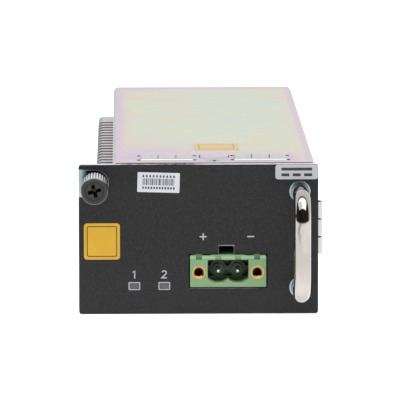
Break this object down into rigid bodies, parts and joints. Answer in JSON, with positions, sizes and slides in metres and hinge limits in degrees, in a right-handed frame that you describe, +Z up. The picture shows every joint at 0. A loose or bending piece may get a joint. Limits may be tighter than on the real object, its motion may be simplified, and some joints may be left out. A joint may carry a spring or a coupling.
{
  "type": "power supply module",
  "caption": "Plug-in DC power supply module: black front panel with U handle, captive screw and two-way header on a vented zinc-plated sheet-metal body.",
  "frame": {"origin": "on the flat underside, at the front panel's centre line, midway between panel face and rear flange", "axes": "+X right seen from the front, +Y into the shelf, +Z up; the front panel faces -Y"},
  "size_m": [0.0642, 0.212, 0.0406],
  "materials": {
    "anodised": "black anodised extrusion",
    "black_knob": "satin black, knurled",
    "black_plastic": "moulded plastic",
    "black_screw": "black zinc",
    "blue_coating": "epoxy coating",
    "board_laminate": "solder-masked laminate",
    "brass": "turned brass",
    "can_sleeve": "sleeved aluminium can",
    "clear_plastic": "frosted clear moulding",
    "coil_tape": "polyester tape over copper",
    "copper": "enamelled copper wire",
    "ferrite": "sintered ferrite",
    "film": "translucent film",
    "finger_metal": "bright spring strip",
    "glass_tube": "glass tube with plated caps",
    "gold_contact": "gold-flashed copper alloy",
    "green_plastic": "moulded green nylon",
    "led_body": "white package",
    "nickel": "polished nickel",
    "panel_paint": "fine-textured matt black powder coat",
    "spring_steel": "plain spring steel",
    "tin": "tin plate",
    "yellow_case": "moulded box case",
    "zinc_chromate": "zinc plate with iridescent chromate",
    "zinc_screw": "blue zinc plate"
  },
  "bodies": {
    "module": {"base_tray": "zinc_chromate", "board_screws": "zinc_screw", "board_standoffs": "zinc_screw", "bulk_capacitor_1": "can_sleeve", "bulk_capacitor_2": "can_sleeve", "bulk_capacitor_3": "can_sleeve", "captive_ferrule": "zinc_screw", "captive_spring": "spring_steel", "choke_core": "ferrite", "choke_winding_left": "copper", "choke_winding_right": "copper", "control_board": "board_laminate", "cover_screws": "zinc_screw", "dc_header": "green_plastic", "dc_pin_left": "tin", "dc_pin_right": "tin", "emi_strip_side": "finger_metal", "emi_strip_top_left": "finger_metal", "emi_strip_top_right": "finger_metal", "front_panel": "panel_paint", "fuse_clips": "tin", "handle": "nickel", "handle_screws": "zinc_screw", "handle_washers": "zinc_screw", "header_insert_left": "brass", "header_insert_right": "brass", "heat_sink": "anodised", "inductor_core": "ferrite", "inductor_winding": "copper", "input_film_capacitor": "yellow_case", "input_fuse": "glass_tube", "insulating_sheet": "film", "light_pipe": "clear_plastic", "main_board": "board_laminate", "output_capacitor_1": "can_sleeve", "output_capacitor_2": "can_sleeve", "output_connector": "black_plastic", "output_contact_1": "gold_contact", "output_contact_2": "gold_contact", "output_contact_3": "gold_contact", "output_contact_4": "gold_contact", "panel_nuts": "zinc_screw", "panel_studs": "zinc_screw", "power_transistor_1": "black_plastic", "power_transistor_2": "black_plastic", "status_led_left": "led_body", "status_led_right": "led_body", "surge_suppressor": "blue_coating", "top_cover": "zinc_chromate", "transformer_bobbin": "black_plastic", "transformer_core_front": "ferrite", "transformer_core_rear": "ferrite", "transformer_winding": "coil_tape", "transistor_screws": "zinc_screw"},
    "captive_slider": {"captive_clip": "spring_steel"},
    "captive_turner": {"captive_knob": "black_knob", "captive_screw": "black_screw"}
  },
  "joints": [
    {"name": "captive_screw_press", "type": "slide", "parent": "module", "child": "captive_slider", "axis": [0, 1, 0], "range_m": [0, 0.0036], "stiffness_N_per_m": 600, "springref_m": -0.001, "deforming": ["captive_spring"]},
    {"name": "captive_screw_turn", "type": "hinge", "parent": "captive_slider", "child": "captive_turner", "pos_m": [-0.027, -0.0908, 0.03425], "axis": [0, 1, 0], "continuous": true}
  ]
}
